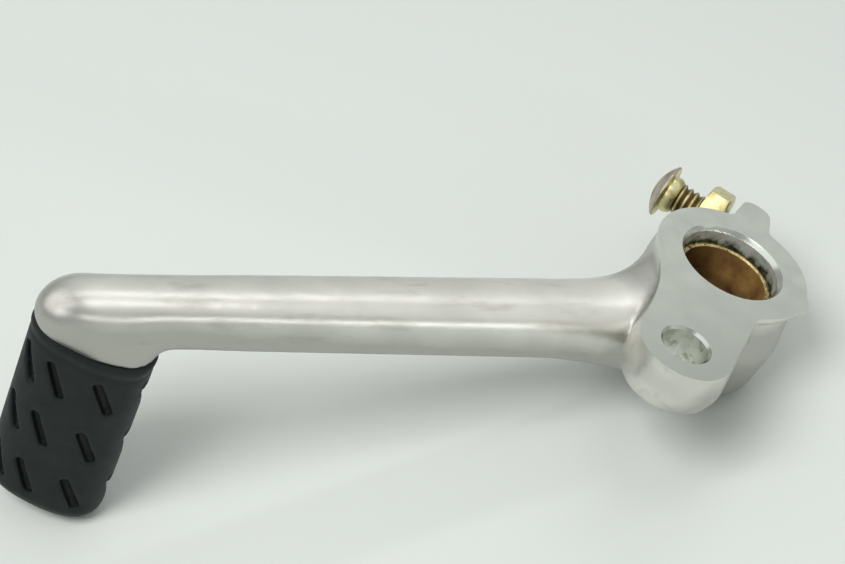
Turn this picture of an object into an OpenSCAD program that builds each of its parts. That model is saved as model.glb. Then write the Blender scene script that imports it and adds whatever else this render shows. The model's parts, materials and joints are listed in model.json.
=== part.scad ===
// Motorbike brake pedal: a forged lever that turns on a bushed pivot, with a lug for the
// brake rod, a stop screw with its lock nut, and a rubber sleeve on the toe peg.
// Millimetres. Z is the pivot axis and X runs along the arm to the toe peg. The modules
// draw with Z = 0 on the machined face of the hub, and in_row_frame() then puts the
// origin at the middle of the bush.

/* [Pivot hub] */
// Radius of the machined face round the pivot
face_r = 14.4; // [13.8:0.1:17]
// Thickness of the plate that the face is cut on
plate_t = 1.3; // [0.8:0.1:2.5]
// Radius of the barrel just under the plate
barrel_r = 13.0; // [12.4:0.1:16]
// How far the forging's parting line stands out from the barrel
parting_bulge = 1.4; // [0.4:0.1:2]
// Length of the hub along the pivot
hub_h = 21.5; // [19:0.5:26]
// Bore that the bush is pressed into
bore_d = 18; // [14:0.5:20]
// Chamfer at the mouth of the bore
bore_chamfer = 0.8; // [0.3:0.1:1.2]

/* [Bush] */
// Wall of the bush
bush_wall = 1.0; // [0.8:0.1:2]
// Depth of the bush's end below the machined face
bush_recess = 3.3; // [0:0.1:5]
// Length of the bush
bush_len = 17; // [8:0.5:17.5]

/* [Rod lug] */
// Distance from the pivot to the hole for the brake rod's pin
lug_reach = 29.3; // [26:0.1:38]
// Direction of the lug, turned from the arm
lug_angle = 45; // [35:1:60]
// Half the width of the lug, and the radius of its round end
lug_r = 8.3; // [7:0.1:10]
// Thickness of the lug
lug_t = 10.2; // [8:0.1:13]
// How far the lug's end wall leans out down to its ridge
lug_draft = 0.8; // [0.3:0.1:1.2]
// Hole for the brake rod's pin
pin_hole_d = 8.2; // [6:0.1:10]
// Chamfer at the mouth of the pin hole
pin_chamfer = 0.5; // [0.2:0.1:0.8]

/* [Stop screw] */
// Outside diameter of the thread
screw_d = 6.35; // [5:0.05:8]
// Length of the screw under its head
screw_len = 22; // [19:0.5:24]
// Diameter of the domed head
head_d = 10.5; // [9:0.1:14]
// Height of the dome
head_rise = 2.4; // [1.5:0.1:3.5]
// Distance from the pivot axis to the screw's axis
screw_offset = 17.6; // [17.2:0.1:20]
// Depth of the screw's axis below the machined face
screw_depth = 6.0; // [5:0.1:8]
// Direction that the screw points, turned from the arm
screw_angle = 129; // [120:1:140]
// Free screw between the head and the lock nut
screw_show = 7.2; // [5:0.1:9]

/* [Lock nut] */
// Width of the nut across its flats
nut_af = 11.1; // [9:0.1:12]
// Height of the nut
nut_h = 4.3; // [3:0.1:6]

/* [Arm] */
// Distance from the pivot to the middle of the toe peg
toe_reach = 113.7; // [90:0.5:150]
// Sideways place of the arm's middle line
arm_y = 3.4; // [0:0.1:5]
// Width of the arm where it leaves the hub
arm_w_hub = 13.8; // [11:0.1:17]
// Width of the arm at the toe
arm_w_toe = 10.8; // [8:0.1:13]
// Thickness of the arm where it leaves the hub
arm_t_hub = 12.2; // [10:0.1:14]
// Thickness of the arm at the toe
arm_t_toe = 10.2; // [8:0.1:12]
// Length over which the arm swells into the hub
root_len = 30; // [18:0.5:40]

/* [Toe peg] */
// Long half-width of the peg's shoulder
toe_a = 9.9; // [8:0.1:13]
// Short half-width of the peg's shoulder
toe_b = 6.3; // [5.5:0.1:9]
// Direction of the peg's long side, turned from the arm
toe_angle = -38; // [-60:1:0]
// Sideways place of the peg's middle
toe_y = 1.4; // [-1:0.1:4]
// Depth of the shoulder below the machined face
toe_depth = 17.5; // [16.5:0.1:22]

/* [Toe rubber] */
// Length of the rubber below the shoulder
rubber_len = 36.3; // [25:0.1:50]
// Wall of the rubber
rubber_wall = 2.4; // [1.8:0.1:3.2]
// Thickness of the rubber's closed end
rubber_end = 2.5; // [1.5:0.1:4]
// How much each half-width of the rubber narrows towards its end
rubber_taper = 0.1; // [0:0.1:2]
// Depth of the grip slots
slot_depth = 1.3; // [0.6:0.1:1.6]
// Length of a grip slot
slot_len = 6.8; // [5:0.1:9]
// Width of a grip slot
slot_w = 1.5; // [1:0.1:2.2]
// Rows of grip slots along the rubber
slot_rows = 3; // [1:1:3]

/* [Hidden] */
$fn = 48;
ring_points = 40;          // points round a section of the arm, the shoulder or the peg

bush_mid = bush_recess + bush_len / 2;
cut_over = 1;              // how far a cut or a casting allowance runs past a face
skin_in = 0.06;            // the lug's foot starts this far inside the hub's skin
run_gap = 0.05;            // radial clearance of the thread in the nut and the boss
fit_gap = 0.05;            // gap between the rubber and the peg inside it
rubber_gap = 0.02;         // the rubber's lip sits this close under the shoulder

arm_drop = 5.2;            // depth of the arm's upper side below the machined face
parting_z = -arm_t_hub / 2 - arm_drop;
arm_z = parting_z;         // the arm's middle lies on the parting line
plate_foot = 0.9;          // the plate slopes into the barrel over this depth
barrel_foot = 0.4;         // radius lost where the barrel rounds into its lower end
barrel_round = 1.8;        // height of that rounding

root_start = 9;            // the arm's swell is at its full size this far from the pivot
root_side = 8;             // swell of the arm's far side
root_near = 6;             // swell of the side towards the rod lug
root_top = 10;             // swell towards the machined face
root_low = 2;              // swell towards the hub's lower end
root_power = 4.5;          // how sharply the far side and the top swell
arm_square = 2.6;          // squareness of the arm's section, where 2 is an ellipse

ridge_z = -0.55 * lug_t;   // the ridge on the lug's end wall
lug_round = 1.8;           // height of the lug's rounded lower edge
gusset_h = hub_h - 2.5;    // depth at which the web under the lug ends

boss_face = -5.6;          // the screw enters the boss here, along the screw's axis
boss_l = 6.0;              // length of the boss along the screw
boss_wall = 2.2;           // metal round the thread
boss_tip_r = 2.6;          // round tip of the boss at the machined face
boss_reach = 20.1;         // distance of that tip from the pivot, square to the screw
boss_foot = 8;             // the boss grows out of the barrel this far from the pivot
spot_gap = 0.5;            // room round the nut's corners where the boss is spot-faced
spot_l = 9;                // length of that cut along the screw

nut_gap = 1.8;             // the lock nut is backed off this far from the boss
nut_far = boss_face - nut_gap;
nut_corner_d = nut_af / cos(30);
head_at = nut_far - nut_h - screw_show;
collar_d = screw_d + 0.9;  // plain collar under the head
collar_l = 1.4;
cone_l = 0.8;              // the collar narrows to the thread over this length
screw_tip = 0.7;           // chamfer at the screw's end

toe_x = toe_reach;
toe_square = 2.4;          // squareness of the peg's oval
nose_from = toe_x + 3.2;   // the arm's rounded nose starts here
nose_len = 8.6;
nose_power = 2.3;
rubber_a = toe_a + 0.3;    // the rubber stands a little proud of the shoulder
rubber_b = toe_b + 0.3;
core_a = rubber_a - rubber_wall;
core_b = rubber_b - rubber_wall;
core_len = rubber_len - rubber_end - rubber_gap;
core_round = 0.8;          // rounding at the end of the peg
rubber_round = 2.4;        // rounding at the closed end of the rubber
lip_round = 0.9;           // rounding of the rubber's lip
row_pitch = 11;            // distance from one row of grip slots to the next
row_first = 7.6;           // the first row lies this far below the rubber's lip
slot_slant = 29;
slot_columns = [45, 80, 120, 184, 225, 260, 300, 340];

// A ring of points on a rounded box outline: half-widths a and b, squarer as p grows
function oval(a, b, p, steps) = [for (i = [0 : steps - 1])
    let (t = 360 * i / steps, c = cos(t), s = sin(t))
    [a * sign(c) * pow(abs(c), 2 / p), b * sign(s) * pow(abs(s), 2 / p)]];

// Points on an arc about c, from angle a0 to a1
function arc(c, r, a0, a1, steps) = [for (i = [0 : steps])
    let (t = a0 + (a1 - a0) * i / steps) [c[0] + r * cos(t), c[1] + r * sin(t)]];

function mix(a, b, t) = a + (b - a) * t;
function limit(v, lo, hi) = min(max(v, lo), hi);
function turn(p, t) = [p[0] * cos(t) - p[1] * sin(t), p[0] * sin(t) + p[1] * cos(t)];
function middle(ring) = [for (k = [0 : 2]) vsum([for (q = ring) q[k]]) / len(ring)];
function vsum(v, i = 0) = i < len(v) ? v[i] + vsum(v, i + 1) : 0;

// Moves the origin from the machined face to the middle of the bush
module in_row_frame() {
    translate([0, 0, bush_mid])
        children();
}

// Skins a stack of rings that all have as many points, and closes both ends
module loft(rings) {
    n = len(rings[0]);
    m = len(rings);
    points = concat([for (r = rings) for (q = r) q], [middle(rings[0]), middle(rings[m - 1])]);
    walls = [for (k = [0 : m - 2]) for (i = [0 : n - 1]) for (half = [0, 1])
        let (a = k * n + i, b = k * n + (i + 1) % n)
        half == 0 ? [a, b + n, b] : [a, a + n, b + n]];
    first = [for (i = [0 : n - 1]) [n * m, i, (i + 1) % n]];
    last = [for (i = [0 : n - 1]) [n * m + 1, (m - 1) * n + (i + 1) % n, (m - 1) * n + i]];
    polyhedron(points, concat(walls, first, last), convexity = 6);
}

// The turned shape of the hub: plate, barrel with its parting line, and rounded foot
module hub_barrel() {
    bulge_r = barrel_r + parting_bulge;
    foot_r = barrel_r - barrel_foot;
    line_h = 0.2;
    rotate_extrude()
        polygon([
            [0, cut_over], [face_r, cut_over], [face_r, -plate_t],
            [barrel_r, -plate_t - plate_foot],
            [bulge_r, parting_z + line_h], [bulge_r, parting_z - line_h],
            [mix(foot_r, bulge_r, 0.5), -hub_h + barrel_round],
            [mix(foot_r, bulge_r, 0.15), -hub_h + barrel_round / 4],
            [foot_r, -hub_h], [0, -hub_h]
        ]);
}

// A cast corner on the rim of the plate, on the side away from the arm
module rim_corner() {
    corner_r = 3.4;
    stand_out = 1.1;
    corner_at = 130;
    rotate([0, 0, corner_at])
        translate([face_r + stand_out - corner_r, 0, -plate_t])
            cylinder(r = corner_r, h = plate_t + cut_over);
}

// One level of the rod lug, seen along the pivot, with its sides moved out by grow. The
// straight sides run into the barrel by a tight fillet on one side and a long one on
// the side of the arm.
function lug_level(z, grow, root_r, reach) =
    let (
        half = lug_r + grow,
        tight = 3,
        wide = limit(pow(reach - 2, 2) / (2 * (root_r - half)) - root_r, 1, 40),
        tight_x = sqrt(pow(root_r + tight, 2) - pow(half + tight, 2)),
        wide_x = sqrt(pow(root_r + wide, 2) - pow(half + wide, 2)),
        tight_end = atan2(-half - tight, -tight_x),
        wide_end = atan2(half + wide, -wide_x),
        ring = concat(
            arc([reach, 0], half, -90, 90, 16),
            arc([tight_x, half + tight], tight, -90, tight_end, 4),
            arc([wide_x, -half - wide], wide, wide_end, 90, 6)
        )
    )
    [for (q = ring) let (r = turn(q, lug_angle)) [r[0], r[1], z]];

// The lug with its parting ridge, rounded below, and the web under it that runs down the
// barrel and stays clear of the pin hole
module rod_lug() {
    web_reach = lug_reach - pin_hole_d / 2 - lug_r + 1.4;
    web_mid = (-lug_t - hub_h) / 2;
    skin_r = barrel_r - skin_in;
    loft([
        lug_level(-gusset_h, -3.2, barrel_r - 2, web_reach - 7),
        lug_level(web_mid, -2.6, barrel_r - 1, web_reach - 2),
        lug_level(-lug_t - 0.5, -2.3, skin_r, web_reach),
        lug_level(-lug_t, -1.9, skin_r, lug_reach - 1.6),
        lug_level(-lug_t + 0.4 * lug_round, -1.1, skin_r, lug_reach - 0.8),
        lug_level(-lug_t + lug_round, -0.2, skin_r, lug_reach),
        lug_level(ridge_z, lug_draft, skin_r, lug_reach),
        lug_level(-plate_t - plate_foot, 0.2, skin_r, lug_reach),
        lug_level(-plate_t, 0.05, face_r - skin_in, lug_reach),
        lug_level(cut_over, 0, face_r - skin_in, lug_reach)
    ]);
}

// The boss that the stop screw runs in. Its frame has X along the screw and Y away from
// the pivot: a round body about the screw with a narrower lobe up to the face.
module screw_boss() {
    body_r = screw_d / 2 + boss_wall;
    rotate([0, 0, screw_angle])
        hull() {
            translate([boss_face, screw_offset, -screw_depth])
                rotate([0, 90, 0])
                    cylinder(r = body_r, h = boss_l, $fn = 32);
            translate([boss_face + boss_tip_r, boss_reach - boss_tip_r, -screw_depth])
                cylinder(r = boss_tip_r, h = screw_depth + cut_over, $fn = 32);
            translate([boss_face, boss_foot, -screw_depth - body_r])
                cube([boss_l + 2, 2, screw_depth + body_r + cut_over]);
        }
}

// One slice of the arm across X. Towards the hub all four sides swell into it.
function arm_slice(x) =
    let (
        t = limit((x - barrel_r) / (toe_x - barrel_r), 0, 1),
        half_w = mix(arm_w_hub, arm_w_toe, t) / 2,
        half_t = mix(arm_t_hub, arm_t_toe, t) / 2,
        root = limit((root_start + root_len - x) / root_len, 0, 1),
        along = limit((x - nose_from) / nose_len, 0, 1),
        nose = pow(1 - pow(along, nose_power), 1 / nose_power),
        y_far = arm_y - half_w - root_side * pow(root, root_power),
        y_near = arm_y + half_w + root_near * pow(root, 2),
        z_top = arm_z + half_t + root_top * pow(root, root_power),
        z_low = arm_z - half_t - root_low * pow(root, 2)
    )
    [for (q = oval((y_near - y_far) / 2, (z_top - z_low) / 2, arm_square, ring_points))
        [x, (y_near + y_far) / 2 + q[0] * nose, (z_top + z_low) / 2 + q[1] * nose]];

module arm() {
    root_steps = 14;
    nose_steps = 8;
    nose_end = 84;
    root_from = 4;
    root_to = root_start + root_len;
    loft(concat(
        [for (i = [0 : root_steps]) arm_slice(mix(root_from, root_to, i / root_steps))],
        [for (i = [1 : 4]) arm_slice(mix(root_to, nose_from, i / 4))],
        [for (i = [1 : nose_steps])
            arm_slice(nose_from + nose_len * sin(nose_end * i / nose_steps))]
    ));
}

// One level of the toe's shoulder, f times the peg's size. Its middle moves from the peg
// to the arm as shift grows.
function toe_level(z, f, shift) =
    [for (q = oval(toe_a * f, toe_b * f, toe_square, ring_points))
        let (r = turn(q, toe_angle))
        [toe_x + r[0], mix(toe_y, arm_y, shift) + r[1], z]];

// The shoulder over the peg, which closes inside the arm's end as a dome
module toe_shoulder() {
    top = arm_z + arm_t_toe / 2 - 2.2;
    waist = top - 5;
    dome_steps = 7;
    dome_end = 80;
    loft(concat(
        [toe_level(-toe_depth, 1, 0), toe_level(mix(-toe_depth, waist, 0.6), 0.995, 0.3)],
        [for (i = [0 : dome_steps])
            let (
                a = dome_end * i / dome_steps,
                f = pow(cos(a), 2 / toe_square),
                up = pow(sin(a), 2 / toe_square)
            )
            toe_level(waist + (top - waist) * up, 0.985 * f, 0.5 + 0.5 * up)]
    ));
}

// One level of the peg or of the rubber round it, with the rubber's taper
function peg_level(z, a, b) =
    let (k = limit((-toe_depth - z) / rubber_len, 0, 1), cut = rubber_taper * k)
    [for (q = oval(a - cut, b - cut, toe_square, ring_points))
        let (r = turn(q, toe_angle))
        [toe_x + r[0], toe_y + r[1], z]];

module toe_peg() {
    z_end = -toe_depth - core_len;
    loft([
        peg_level(z_end, core_a - core_round, core_b - core_round),
        peg_level(z_end + core_round, core_a, core_b),
        peg_level(-toe_depth + 2 * cut_over, core_a, core_b)
    ]);
}

// Everything that is machined into the forging
module machining() {
    bore_r = bore_d / 2;
    pin_r = pin_hole_d / 2;
    bore_mouth = bore_chamfer + cut_over;
    pin_mouth = pin_chamfer + cut_over;
    side = 2 * (lug_reach + face_r);
    translate([-side / 2, -side / 2, 0])
        cube([side, side, root_top]);
    translate([0, 0, -hub_h - cut_over])
        cylinder(r = bore_r, h = hub_h + 2 * cut_over);
    translate([0, 0, -bore_chamfer])
        cylinder(r1 = bore_r, r2 = bore_r + bore_mouth, h = bore_mouth);
    rotate([0, 0, lug_angle])
        translate([lug_reach, 0, 0]) {
            translate([0, 0, -lug_t - cut_over])
                cylinder(r = pin_r, h = lug_t + 2 * cut_over);
            translate([0, 0, -pin_chamfer])
                cylinder(r1 = pin_r, r2 = pin_r + pin_mouth, h = pin_mouth);
        }
    along_screw(boss_face - spot_l)
        cylinder(d = nut_corner_d + 2 * spot_gap, h = spot_l);
    along_screw(boss_face - cut_over)
        cylinder(d = screw_d + 2 * run_gap, h = 2 * face_r);
}

module pedal_lever() {
    color("#d2d1cb")
        in_row_frame()
            difference() {
                union() {
                    hub_barrel();
                    rim_corner();
                    rod_lug();
                    screw_boss();
                    arm();
                    toe_shoulder();
                    toe_peg();
                }
                machining();
            }
}

module pivot_bush() {
    outer = bore_d / 2;
    inner = outer - bush_wall;
    lead = 0.3;
    color("#7a5230")
        translate([0, 0, -bush_len / 2])
            rotate_extrude()
                polygon([
                    [inner, lead], [inner + lead, 0], [outer - lead, 0], [outer, lead],
                    [outer, bush_len - lead], [outer - lead, bush_len],
                    [inner + lead, bush_len], [inner, bush_len - lead]
                ]);
}

// Turned about the screw's own axis, head to the left, then laid into the boss
module along_screw(at) {
    rotate([0, 0, screw_angle])
        translate([at, screw_offset, -screw_depth])
            rotate([0, 90, 0])
                children();
}

module stop_screw() {
    rim_t = 0.4;
    dome_steps = 8;
    head_r = head_d / 2;
    dome_r = (pow(head_r, 2) + pow(head_rise - rim_t, 2)) / (2 * (head_rise - rim_t));
    sweep = asin(head_r / dome_r);
    dome = [for (i = [0 : dome_steps])
        let (a = sweep * (1 - i / dome_steps))
        [dome_r * sin(a), -head_rise + dome_r * (1 - cos(a))]];
    color("#a8893a")
        in_row_frame()
            along_screw(head_at)
                rotate_extrude()
                    polygon(concat(dome, [
                        [0, screw_len], [screw_d / 2 - screw_tip, screw_len],
                        [screw_d / 2, screw_len - screw_tip],
                        [screw_d / 2, collar_l + cone_l],
                        [collar_d / 2, collar_l], [collar_d / 2, 0], [head_r, 0]
                    ]));
}

module lock_nut() {
    bevel = 0.5;
    nut_turn = 12.3;
    bevel_r = nut_corner_d / 2 + 0.1;
    color("#c9ad4b")
        in_row_frame()
            along_screw(nut_far - nut_h)
                difference() {
                    intersection() {
                        rotate([0, 0, nut_turn])
                            cylinder(d = nut_corner_d, h = nut_h, $fn = 6);
                        rotate_extrude()
                            polygon([
                                [0, 0], [nut_af / 2, 0], [bevel_r, bevel],
                                [bevel_r, nut_h - bevel], [nut_af / 2, nut_h], [0, nut_h]
                            ]);
                    }
                    translate([0, 0, -cut_over])
                        cylinder(d = screw_d + 2 * run_gap, h = nut_h + 2 * cut_over);
                }
}

// A slanted grip slot in the rubber's outer wall, at an angle round the oval
module grip_slot(around, z) {
    narrow = rubber_taper * (-toe_depth - z) / rubber_len;
    a = rubber_a - narrow;
    b = rubber_b - narrow;
    c = cos(around);
    s = sin(around);
    x = a * sign(c) * pow(abs(c), 2 / toe_square);
    y = b * sign(s) * pow(abs(s), 2 / toe_square);
    facing = atan2(sign(y) * pow(abs(y) / b, toe_square - 1) / b,
                   sign(x) * pow(abs(x) / a, toe_square - 1) / a);
    translate([toe_x, toe_y, z])
        rotate([0, 0, toe_angle])
            translate([x, y, 0])
                rotate([0, 0, facing])
                    rotate([slot_slant, 0, 0])
                        translate([-slot_depth, -slot_w / 2, -slot_len / 2])
                            cube([slot_depth + 2 * cut_over, slot_w, slot_len]);
}

module toe_rubber() {
    top = -toe_depth - rubber_gap;
    end = -toe_depth - rubber_len;
    hollow_a = core_a + fit_gap;
    hollow_b = core_b + fit_gap;
    floor_z = end + rubber_end;
    color("#2a2f31")
        in_row_frame()
            difference() {
                loft([
                    peg_level(end, rubber_a - 2.6, rubber_b - 2.6),
                    peg_level(end + 0.12 * rubber_round, rubber_a - 1.5, rubber_b - 1.5),
                    peg_level(end + 0.42 * rubber_round, rubber_a - 0.6, rubber_b - 0.6),
                    peg_level(end + rubber_round, rubber_a, rubber_b),
                    peg_level(top - 2.6 * lip_round, rubber_a, rubber_b),
                    peg_level(top - lip_round, rubber_a + 0.12, rubber_b + 0.12),
                    peg_level(top - lip_round / 3, rubber_a - 0.15, rubber_b - 0.15),
                    peg_level(top, rubber_a - 0.6, rubber_b - 0.6)
                ]);
                loft([
                    peg_level(floor_z, hollow_a - core_round, hollow_b - core_round),
                    peg_level(floor_z + core_round, hollow_a, hollow_b),
                    peg_level(top + cut_over, hollow_a, hollow_b)
                ]);
                for (row = [0 : slot_rows - 1])
                    for (around = slot_columns)
                        grip_slot(around, top - row_first - row * row_pitch);
            }
}

pedal_lever();
pivot_bush();
stop_screw();
lock_nut();
toe_rubber();
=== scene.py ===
"""Motorbike brake pedal: the finished look of the forged lever, its bush, stop screw, lock
nut and toe rubber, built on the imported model. Lengths in the code are in metres."""

import json
import math
from functools import partial

import bmesh
import bpy
from mathutils import Matrix, Vector
from mathutils.bvhtree import BVHTree


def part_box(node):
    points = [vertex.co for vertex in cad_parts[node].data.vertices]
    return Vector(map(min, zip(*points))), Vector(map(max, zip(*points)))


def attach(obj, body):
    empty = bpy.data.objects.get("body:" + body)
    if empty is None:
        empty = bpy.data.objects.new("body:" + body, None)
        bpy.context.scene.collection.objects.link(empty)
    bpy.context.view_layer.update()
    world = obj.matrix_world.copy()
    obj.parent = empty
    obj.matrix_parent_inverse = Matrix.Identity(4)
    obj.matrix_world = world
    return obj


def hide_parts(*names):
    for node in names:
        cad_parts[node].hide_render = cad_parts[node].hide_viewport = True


bl_info = {
    "name": "Motorbike Brake Pedal",
    "version": (1, 0, 0),
    "blender": (4, 5, 0),
    "location": "View3D > Sidebar > Brake Pedal",
    "description": "Builds a forged brake pedal with its screw, bush and rubber",
    "category": "Object",
}

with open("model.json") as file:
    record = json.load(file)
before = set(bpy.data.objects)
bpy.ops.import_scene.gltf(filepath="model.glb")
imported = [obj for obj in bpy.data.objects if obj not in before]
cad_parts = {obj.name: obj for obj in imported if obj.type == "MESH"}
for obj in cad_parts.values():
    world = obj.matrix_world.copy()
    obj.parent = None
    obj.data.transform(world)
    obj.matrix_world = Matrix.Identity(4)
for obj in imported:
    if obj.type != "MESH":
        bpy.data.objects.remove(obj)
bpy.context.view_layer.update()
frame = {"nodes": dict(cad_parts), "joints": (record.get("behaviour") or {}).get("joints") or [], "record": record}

MM = 0.001
TAU = 2 * math.pi
# Width of the picture in pixels
IMAGE_W = 845

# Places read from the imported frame
BUSH_LOW, BUSH_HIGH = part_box("pivot_bush")
LEVER_LOW, LEVER_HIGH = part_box("pedal_lever")
SCREW_LOW, SCREW_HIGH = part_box("stop_screw")
RUBBER_LOW, RUBBER_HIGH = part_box("toe_rubber")
SLIDE = Vector(frame["joints"][0]["axis"]).normalized()
FACE_Z = LEVER_HIGH.z
# Square to the screw, away from the pivot
SCREW_OUT = Vector((-SLIDE.y, SLIDE.x, 0))
# The point of the screw's axis that is nearest to the pivot's axis
SCREW_MIDDLE = (SCREW_LOW + SCREW_HIGH) / 2
SCREW_ORIGIN = SCREW_MIDDLE - SLIDE * SCREW_MIDDLE.dot(SLIDE)
MOUNTS = {mount["name"]: mount for mount in frame["record"]["mounts"]}
PIN_PLACE = Vector(MOUNTS["rod_pin_hole"]["pos_m"])


def linear(hex_colour):
    """An sRGB hex value as a linear colour."""
    values = [int(hex_colour[i : i + 2], 16) / 255 for i in (1, 3, 5)]
    return [c / 12.92 if c <= 0.04045 else ((c + 0.055) / 1.055) ** 2.4 for c in values] + [1]


class LeverSettings(bpy.types.PropertyGroup):
    """Sizes and colours of the forged lever."""

    grain: bpy.props.FloatProperty(
        name="Grain",
        description="Size of the cells that the forging's skin is rebuilt from",
        default=0.42 * MM,
        unit="LENGTH",
    )
    soften: bpy.props.IntProperty(
        name="Softening",
        description="Passes of smoothing that round the forging's creases",
        default=22,
        min=0,
        max=60,
    )
    toe_side: bpy.props.FloatProperty(
        name="Toe side",
        description="Distance of the bend's near side from the pivot, across the arm",
        default=8.9 * MM,
        unit="LENGTH",
    )
    toe_soften: bpy.props.IntProperty(
        name="Toe softening",
        description="Further passes, three times over, that round the bend above the rubber",
        default=12,
        min=0,
        max=80,
    )
    hub_soften: bpy.props.IntProperty(
        name="Hub softening",
        description="Passes of smoothing round the hub and its lug, where the forging is crisper",
        default=11,
        min=0,
        max=60,
    )
    bore_r: bpy.props.FloatProperty(
        name="Bore radius", description="Radius of the pivot bore", default=9.0 * MM, unit="LENGTH"
    )
    bore_chamfer: bpy.props.FloatProperty(
        name="Bore chamfer",
        description="Width of the chamfer at the mouth of the pivot bore",
        default=0.8 * MM,
        unit="LENGTH",
    )
    pin_r: bpy.props.FloatProperty(
        name="Pin hole radius",
        description="Radius of the rod pin's hole",
        default=4.1 * MM,
        unit="LENGTH",
    )
    pin_chamfer: bpy.props.FloatProperty(
        name="Pin hole chamfer",
        description="Width of the chamfer at the mouth of the pin hole",
        default=0.5 * MM,
        unit="LENGTH",
    )
    spot_r: bpy.props.FloatProperty(
        name="Spot face radius",
        description="Radius of the flat that is cut on the boss for the lock nut",
        default=6.9 * MM,
        unit="LENGTH",
    )
    boss_face: bpy.props.FloatProperty(
        name="Spot face place",
        description="Place of that flat along the screw, from the point nearest to the pivot",
        default=-5.6 * MM,
        unit="LENGTH",
    )
    colour: bpy.props.FloatVectorProperty(
        name="Forging colour",
        description="Colour of the satin forged skin",
        subtype="COLOR",
        size=4,
        default=linear("#dddcd5"),
    )
    face_colour: bpy.props.FloatVectorProperty(
        name="Face colour",
        description="Colour of the machined face",
        subtype="COLOR",
        size=4,
        default=linear("#c8ccc4"),
    )


class ScrewSettings(bpy.types.PropertyGroup):
    """Sizes and colours of the stop screw and its nut."""

    thread_d: bpy.props.FloatProperty(
        name="Thread diameter",
        description="Outside diameter of the thread",
        default=6.35 * MM,
        unit="LENGTH",
    )
    pitch: bpy.props.FloatProperty(
        name="Pitch",
        description="Travel for one turn of the thread",
        default=1.27 * MM,
        unit="LENGTH",
    )
    head_d: bpy.props.FloatProperty(
        name="Head diameter",
        description="Diameter of the domed head",
        default=10.5 * MM,
        unit="LENGTH",
    )
    head_rise: bpy.props.FloatProperty(
        name="Head height", description="Height of the dome", default=2.4 * MM, unit="LENGTH"
    )
    length: bpy.props.FloatProperty(
        name="Length", description="Length under the head", default=22 * MM, unit="LENGTH"
    )
    colour: bpy.props.FloatVectorProperty(
        name="Plating colour",
        description="Colour of the clean yellow zinc plate",
        subtype="COLOR",
        size=4,
        default=linear("#dcd29c"),
    )


class RubberSettings(bpy.types.PropertyGroup):
    """Finish of the toe rubber."""

    grain: bpy.props.FloatProperty(
        name="Grain",
        description="Size of the cells of the rubber's skin",
        default=0.3 * MM,
        unit="LENGTH",
    )
    soften: bpy.props.IntProperty(
        name="Softening",
        description="Passes of smoothing that round the slots' edges",
        default=5,
        min=0,
        max=20,
    )
    colour: bpy.props.FloatVectorProperty(
        name="Rubber colour",
        description="Colour of the moulded rubber",
        subtype="COLOR",
        size=4,
        default=linear("#0c1414"),
    )


class StageSettings(bpy.types.PropertyGroup):
    """Camera, floor and lamps."""

    focal: bpy.props.FloatProperty(
        name="Focal length in pixels", description="Focal length for a picture 845 wide", default=1980.0
    )
    floor_slope: bpy.props.FloatProperty(
        name="Floor slope",
        description="Slope of the table under the hub's end and the rubber's tip",
        default=math.radians(15.2),
        subtype="ANGLE",
    )


# Building blocks for the meshes


def new_object(name, bm):
    """The bmesh as a shown object at the origin, with its place in its mesh."""
    mesh = bpy.data.meshes.new(name)
    bm.to_mesh(mesh)
    bm.free()
    obj = bpy.data.objects.new(name, mesh)
    bpy.context.scene.collection.objects.link(obj)
    return obj


def cad_copy(cad_node):
    """A bmesh of a CAD node with its doubled points merged."""
    bm = bmesh.new()
    bm.from_mesh(frame["nodes"][cad_node].data)
    bmesh.ops.remove_doubles(bm, verts=bm.verts, dist=0.002 * MM)
    return bm


def apply_modifiers(obj):
    """Turns the object's modifiers into its mesh."""
    graph = bpy.context.evaluated_depsgraph_get()
    mesh = bpy.data.meshes.new_from_object(obj.evaluated_get(graph))
    obj.modifiers.clear()
    obj.data = mesh


def remesh(obj, cell):
    """Rebuilds the object's skin from even cells."""
    mod = obj.modifiers.new("skin", "REMESH")
    mod.mode = "VOXEL"
    mod.voxel_size = cell
    apply_modifiers(obj)


def soften(obj, passes, choose=None):
    """Rounds creases by moving points towards the middle of their neighbours: every point,
    or those that choose(place) picks."""
    bm = bmesh.new()
    bm.from_mesh(obj.data)
    picked = [v for v in bm.verts if choose is None or choose(v.co)]
    axes = {"use_axis_x": True, "use_axis_y": True, "use_axis_z": True}
    for _ in range(passes):
        bmesh.ops.smooth_vert(bm, verts=picked, factor=0.5, **axes)
    bm.to_mesh(obj.data)
    bm.free()


def swell(obj, distance):
    """Moves the skin outwards, to give back what the smoothing took."""
    normals = [v.normal.copy() for v in obj.data.vertices]
    for vert, normal in zip(obj.data.vertices, normals):
        vert.co += normal * distance


def cut(obj, cutter):
    """Takes the cutter away from the object and deletes the cutter."""
    mod = obj.modifiers.new("cut", "BOOLEAN")
    mod.operation = "DIFFERENCE"
    mod.solver = "MANIFOLD"
    mod.object = cutter
    apply_modifiers(obj)
    bpy.data.objects.remove(cutter)


def spun(name, outline, steps):
    """A closed shape turned about Z from an outline of (radius, height) points."""
    bm = bmesh.new()
    points = [bm.verts.new((r, 0, z)) for r, z in outline]
    edges = [bm.edges.new(pair) for pair in zip(points, points[1:])]
    bmesh.ops.spin(
        bm,
        geom=points + edges,
        cent=(0, 0, 0),
        axis=(0, 0, 1),
        angle=TAU,
        steps=steps,
        use_merge=True,
    )
    bmesh.ops.remove_doubles(bm, verts=bm.verts, dist=0.0005 * MM)
    bmesh.ops.recalc_face_normals(bm, faces=bm.faces)
    return new_object(name, bm)


def cylinder(name, radius, height):
    """A plain round cutter that stands on the origin."""
    return spun(name, [(0, 0), (radius, 0), (radius, height), (0, height)], 64)


def place(obj, matrix):
    """Moves the object's mesh, and leaves the object itself at the origin."""
    obj.data.transform(matrix)
    obj.data.update()
    return obj


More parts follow.
